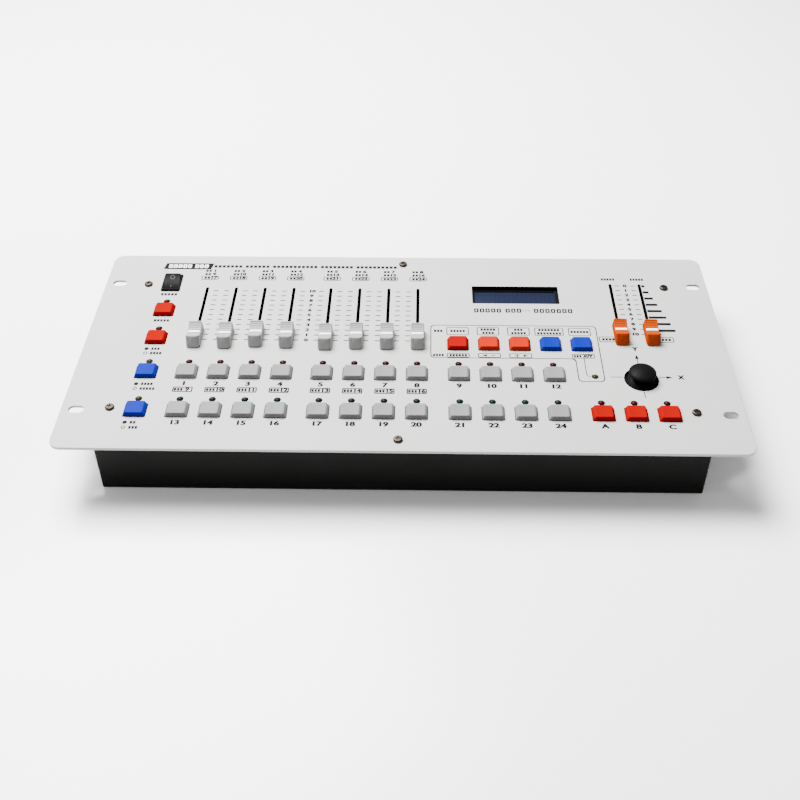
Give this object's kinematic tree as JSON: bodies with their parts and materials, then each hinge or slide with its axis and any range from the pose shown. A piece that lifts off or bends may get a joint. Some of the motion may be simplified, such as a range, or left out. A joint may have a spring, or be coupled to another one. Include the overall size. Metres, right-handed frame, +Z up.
{
  "type": "lighting control desk",
  "caption": "Rack-width lighting control desk: grey metal panel on a shallow black tray, with sprung keys, fader knobs, a small display, a rocker switch and a thumb joystick.",
  "frame": {"origin": "middle of the tray's underside, the face that the desk rests on", "axes": "+X along the panel to the operator's right, +Y away from the operator to the sockets, +Z up"},
  "size_m": [0.4826, 0.2214, 0.0558],
  "materials": {
    "panel_paint": "satin light warm grey paint",
    "tray_paint": "satin black paint",
    "screw_steel": "dark burnished steel",
    "lamp_resin": "tinted clear resin",
    "display": "black bezel and blue glass",
    "switch_plastic": "black moulded plastic",
    "rocker_plastic": "black glossy plastic",
    "socket_metal": "nickel plated, black inserts",
    "plated_steel": "zinc plated",
    "circuit_board": "green solder mask",
    "stick_plastic": "satin black plastic",
    "key_grey": "satin mid grey",
    "key_red": "satin red",
    "key_orange": "satin orange red",
    "key_blue": "satin blue",
    "knob_grey": "satin light grey",
    "knob_orange": "satin orange"
  },
  "bodies": {
    "chassis": {"front_panel": "panel_paint", "tray": "tray_paint", "screws": "screw_steel", "lamps": "lamp_resin", "display_module": "display", "power_switch_body": "switch_plastic", "rear_sockets": "socket_metal", "key_switches": "switch_plastic", "fader_frames": "plated_steel", "control_board": "circuit_board", "joystick_yoke": "plated_steel"},
    "power_rocker": {"power_rocker": "rocker_plastic"},
    "joystick_gimbal": {"joystick_gimbal": "plated_steel"},
    "joystick_stick": {"joystick_stick": "stick_plastic"},
    "key_01": {"key_01": "key_grey"},
    "key_02": {"key_02": "key_grey"},
    "key_03": {"key_03": "key_grey"},
    "key_04": {"key_04": "key_grey"},
    "key_05": {"key_05": "key_grey"},
    "key_06": {"key_06": "key_grey"},
    "key_07": {"key_07": "key_grey"},
    "key_08": {"key_08": "key_grey"},
    "key_09": {"key_09": "key_grey"},
    "key_10": {"key_10": "key_grey"},
    "key_11": {"key_11": "key_grey"},
    "key_12": {"key_12": "key_grey"},
    "key_13": {"key_13": "key_grey"},
    "key_14": {"key_14": "key_grey"},
    "key_15": {"key_15": "key_grey"},
    "key_16": {"key_16": "key_grey"},
    "key_17": {"key_17": "key_grey"},
    "key_18": {"key_18": "key_grey"},
    "key_19": {"key_19": "key_grey"},
    "key_20": {"key_20": "key_grey"},
    "key_21": {"key_21": "key_grey"},
    "key_22": {"key_22": "key_grey"},
    "key_23": {"key_23": "key_grey"},
    "key_24": {"key_24": "key_grey"},
    "key_clear": {"key_clear": "key_red"},
    "key_step_back": {"key_step_back": "key_orange"},
    "key_step_on": {"key_step_on": "key_orange"},
    "key_release": {"key_release": "key_blue"},
    "key_manual": {"key_manual": "key_blue"},
    "key_blackout": {"key_blackout": "key_red"},
    "key_run_edit": {"key_run_edit": "key_red"},
    "key_scan_light": {"key_scan_light": "key_blue"},
    "key_page": {"key_page": "key_blue"},
    "key_scene_a": {"key_scene_a": "key_red"},
    "key_scene_b": {"key_scene_b": "key_red"},
    "key_scene_c": {"key_scene_c": "key_red"},
    "fader_1": {"fader_1": "knob_grey"},
    "fader_2": {"fader_2": "knob_grey"},
    "fader_3": {"fader_3": "knob_grey"},
    "fader_4": {"fader_4": "knob_grey"},
    "fader_5": {"fader_5": "knob_grey"},
    "fader_6": {"fader_6": "knob_grey"},
    "fader_7": {"fader_7": "knob_grey"},
    "fader_8": {"fader_8": "knob_grey"},
    "speed_fader": {"speed_fader": "knob_orange"},
    "cross_fader": {"cross_fader": "knob_orange"}
  },
  "joints": [
    {"name": "key_01_press", "type": "slide", "parent": "chassis", "child": "key_01", "axis": [0, 0, -1], "range_m": [0, 0.0015], "stiffness_N_per_m": 900, "springref_m": -0.0003},
    {"name": "key_02_press", "type": "slide", "parent": "chassis", "child": "key_02", "axis": [0, 0, -1], "range_m": [0, 0.0015], "stiffness_N_per_m": 900, "springref_m": -0.0003},
    {"name": "key_03_press", "type": "slide", "parent": "chassis", "child": "key_03", "axis": [0, 0, -1], "range_m": [0, 0.0015], "stiffness_N_per_m": 900, "springref_m": -0.0003},
    {"name": "key_04_press", "type": "slide", "parent": "chassis", "child": "key_04", "axis": [0, 0, -1], "range_m": [0, 0.0015], "stiffness_N_per_m": 900, "springref_m": -0.0003},
    {"name": "key_05_press", "type": "slide", "parent": "chassis", "child": "key_05", "axis": [0, 0, -1], "range_m": [0, 0.0015], "stiffness_N_per_m": 900, "springref_m": -0.0003},
    {"name": "key_06_press", "type": "slide", "parent": "chassis", "child": "key_06", "axis": [0, 0, -1], "range_m": [0, 0.0015], "stiffness_N_per_m": 900, "springref_m": -0.0003},
    {"name": "key_07_press", "type": "slide", "parent": "chassis", "child": "key_07", "axis": [0, 0, -1], "range_m": [0, 0.0015], "stiffness_N_per_m": 900, "springref_m": -0.0003},
    {"name": "key_08_press", "type": "slide", "parent": "chassis", "child": "key_08", "axis": [0, 0, -1], "range_m": [0, 0.0015], "stiffness_N_per_m": 900, "springref_m": -0.0003},
    {"name": "key_09_press", "type": "slide", "parent": "chassis", "child": "key_09", "axis": [0, 0, -1], "range_m": [0, 0.0015], "stiffness_N_per_m": 900, "springref_m": -0.0003},
    {"name": "key_10_press", "type": "slide", "parent": "chassis", "child": "key_10", "axis": [0, 0, -1], "range_m": [0, 0.0015], "stiffness_N_per_m": 900, "springref_m": -0.0003},
    {"name": "key_11_press", "type": "slide", "parent": "chassis", "child": "key_11", "axis": [0, 0, -1], "range_m": [0, 0.0015], "stiffness_N_per_m": 900, "springref_m": -0.0003},
    {"name": "key_12_press", "type": "slide", "parent": "chassis", "child": "key_12", "axis": [0, 0, -1], "range_m": [0, 0.0015], "stiffness_N_per_m": 900, "springref_m": -0.0003},
    {"name": "key_13_press", "type": "slide", "parent": "chassis", "child": "key_13", "axis": [0, 0, -1], "range_m": [0, 0.0015], "stiffness_N_per_m": 900, "springref_m": -0.0003},
    {"name": "key_14_press", "type": "slide", "parent": "chassis", "child": "key_14", "axis": [0, 0, -1], "range_m": [0, 0.0015], "stiffness_N_per_m": 900, "springref_m": -0.0003},
    {"name": "key_15_press", "type": "slide", "parent": "chassis", "child": "key_15", "axis": [0, 0, -1], "range_m": [0, 0.0015], "stiffness_N_per_m": 900, "springref_m": -0.0003},
    {"name": "key_16_press", "type": "slide", "parent": "chassis", "child": "key_16", "axis": [0, 0, -1], "range_m": [0, 0.0015], "stiffness_N_per_m": 900, "springref_m": -0.0003},
    {"name": "key_17_press", "type": "slide", "parent": "chassis", "child": "key_17", "axis": [0, 0, -1], "range_m": [0, 0.0015], "stiffness_N_per_m": 900, "springref_m": -0.0003},
    {"name": "key_18_press", "type": "slide", "parent": "chassis", "child": "key_18", "axis": [0, 0, -1], "range_m": [0, 0.0015], "stiffness_N_per_m": 900, "springref_m": -0.0003},
    {"name": "key_19_press", "type": "slide", "parent": "chassis", "child": "key_19", "axis": [0, 0, -1], "range_m": [0, 0.0015], "stiffness_N_per_m": 900, "springref_m": -0.0003},
    {"name": "key_20_press", "type": "slide", "parent": "chassis", "child": "key_20", "axis": [0, 0, -1], "range_m": [0, 0.0015], "stiffness_N_per_m": 900, "springref_m": -0.0003},
    {"name": "key_21_press", "type": "slide", "parent": "chassis", "child": "key_21", "axis": [0, 0, -1], "range_m": [0, 0.0015], "stiffness_N_per_m": 900, "springref_m": -0.0003},
    {"name": "key_22_press", "type": "slide", "parent": "chassis", "child": "key_22", "axis": [0, 0, -1], "range_m": [0, 0.0015], "stiffness_N_per_m": 900, "springref_m": -0.0003},
    {"name": "key_23_press", "type": "slide", "parent": "chassis", "child": "key_23", "axis": [0, 0, -1], "range_m": [0, 0.0015], "stiffness_N_per_m": 900, "springref_m": -0.0003},
    {"name": "key_24_press", "type": "slide", "parent": "chassis", "child": "key_24", "axis": [0, 0, -1], "range_m": [0, 0.0015], "stiffness_N_per_m": 900, "springref_m": -0.0003},
    {"name": "key_clear_press", "type": "slide", "parent": "chassis", "child": "key_clear", "axis": [0, 0, -1], "range_m": [0, 0.0015], "stiffness_N_per_m": 900, "springref_m": -0.0003},
    {"name": "key_step_back_press", "type": "slide", "parent": "chassis", "child": "key_step_back", "axis": [0, 0, -1], "range_m": [0, 0.0015], "stiffness_N_per_m": 900, "springref_m": -0.0003},
    {"name": "key_step_on_press", "type": "slide", "parent": "chassis", "child": "key_step_on", "axis": [0, 0, -1], "range_m": [0, 0.0015], "stiffness_N_per_m": 900, "springref_m": -0.0003},
    {"name": "key_release_press", "type": "slide", "parent": "chassis", "child": "key_release", "axis": [0, 0, -1], "range_m": [0, 0.0015], "stiffness_N_per_m": 900, "springref_m": -0.0003},
    {"name": "key_manual_press", "type": "slide", "parent": "chassis", "child": "key_manual", "axis": [0, 0, -1], "range_m": [0, 0.0015], "stiffness_N_per_m": 900, "springref_m": -0.0003},
    {"name": "key_blackout_press", "type": "slide", "parent": "chassis", "child": "key_blackout", "axis": [0, 0, -1], "range_m": [0, 0.0015], "stiffness_N_per_m": 900, "springref_m": -0.0003},
    {"name": "key_run_edit_press", "type": "slide", "parent": "chassis", "child": "key_run_edit", "axis": [0, 0, -1], "range_m": [0, 0.0015], "stiffness_N_per_m": 900, "springref_m": -0.0003},
    {"name": "key_scan_light_press", "type": "slide", "parent": "chassis", "child": "key_scan_light", "axis": [0, 0, -1], "range_m": [0, 0.0015], "stiffness_N_per_m": 900, "springref_m": -0.0003},
    {"name": "key_page_press", "type": "slide", "parent": "chassis", "child": "key_page", "axis": [0, 0, -1], "range_m": [0, 0.0015], "stiffness_N_per_m": 900, "springref_m": -0.0003},
    {"name": "key_scene_a_press", "type": "slide", "parent": "chassis", "child": "key_scene_a", "axis": [0, 0, -1], "range_m": [0, 0.0015], "stiffness_N_per_m": 900, "springref_m": -0.0003},
    {"name": "key_scene_b_press", "type": "slide", "parent": "chassis", "child": "key_scene_b", "axis": [0, 0, -1], "range_m": [0, 0.0015], "stiffness_N_per_m": 900, "springref_m": -0.0003},
    {"name": "key_scene_c_press", "type": "slide", "parent": "chassis", "child": "key_scene_c", "axis": [0, 0, -1], "range_m": [0, 0.0015], "stiffness_N_per_m": 900, "springref_m": -0.0003},
    {"name": "fader_1_slide", "type": "slide", "parent": "chassis", "child": "fader_1", "axis": [0, 1, 0], "range_m": [-0.0015, 0.0585]},
    {"name": "fader_2_slide", "type": "slide", "parent": "chassis", "child": "fader_2", "axis": [0, 1, 0], "range_m": [-0.0008, 0.0592]},
    {"name": "fader_3_slide", "type": "slide", "parent": "chassis", "child": "fader_3", "axis": [0, 1, 0], "range_m": [-0.0028, 0.0572]},
    {"name": "fader_4_slide", "type": "slide", "parent": "chassis", "child": "fader_4", "axis": [0, 1, 0], "range_m": [-0.0018, 0.0582]},
    {"name": "fader_5_slide", "type": "slide", "parent": "chassis", "child": "fader_5", "axis": [0, 1, 0], "range_m": [0, 0.06]},
    {"name": "fader_6_slide", "type": "slide", "parent": "chassis", "child": "fader_6", "axis": [0, 1, 0], "range_m": [-0.0013, 0.0587]},
    {"name": "fader_7_slide", "type": "slide", "parent": "chassis", "child": "fader_7", "axis": [0, 1, 0], "range_m": [-0.0012, 0.0588]},
    {"name": "fader_8_slide", "type": "slide", "parent": "chassis", "child": "fader_8", "axis": [0, 1, 0], "range_m": [-0.0013, 0.0587]},
    {"name": "speed_fader_slide", "type": "slide", "parent": "chassis", "child": "speed_fader", "axis": [0, 1, 0], "range_m": [-0.0004, 0.0596]},
    {"name": "cross_fader_slide", "type": "slide", "parent": "chassis", "child": "cross_fader", "axis": [0, 1, 0], "range_m": [0, 0.06]},
    {"name": "power_rock", "type": "hinge", "parent": "chassis", "child": "power_rocker", "pos_m": [-0.188, 0.0732, 0.0445], "axis": [1, 0, 0], "range_deg": [-20, 0]},
    {"name": "joystick_tip_y", "type": "hinge", "parent": "chassis", "child": "joystick_gimbal", "pos_m": [0.1732, -0.0366, 0.034], "axis": [1, 0, 0], "range_deg": [-15, 15], "stiffness_Nm_per_rad": 0.05},
    {"name": "joystick_tip_x", "type": "hinge", "parent": "joystick_gimbal", "child": "joystick_stick", "pos_m": [0.1732, -0.0366, 0.034], "axis": [0, 1, 0], "range_deg": [-15, 15], "stiffness_Nm_per_rad": 0.05}
  ]
}
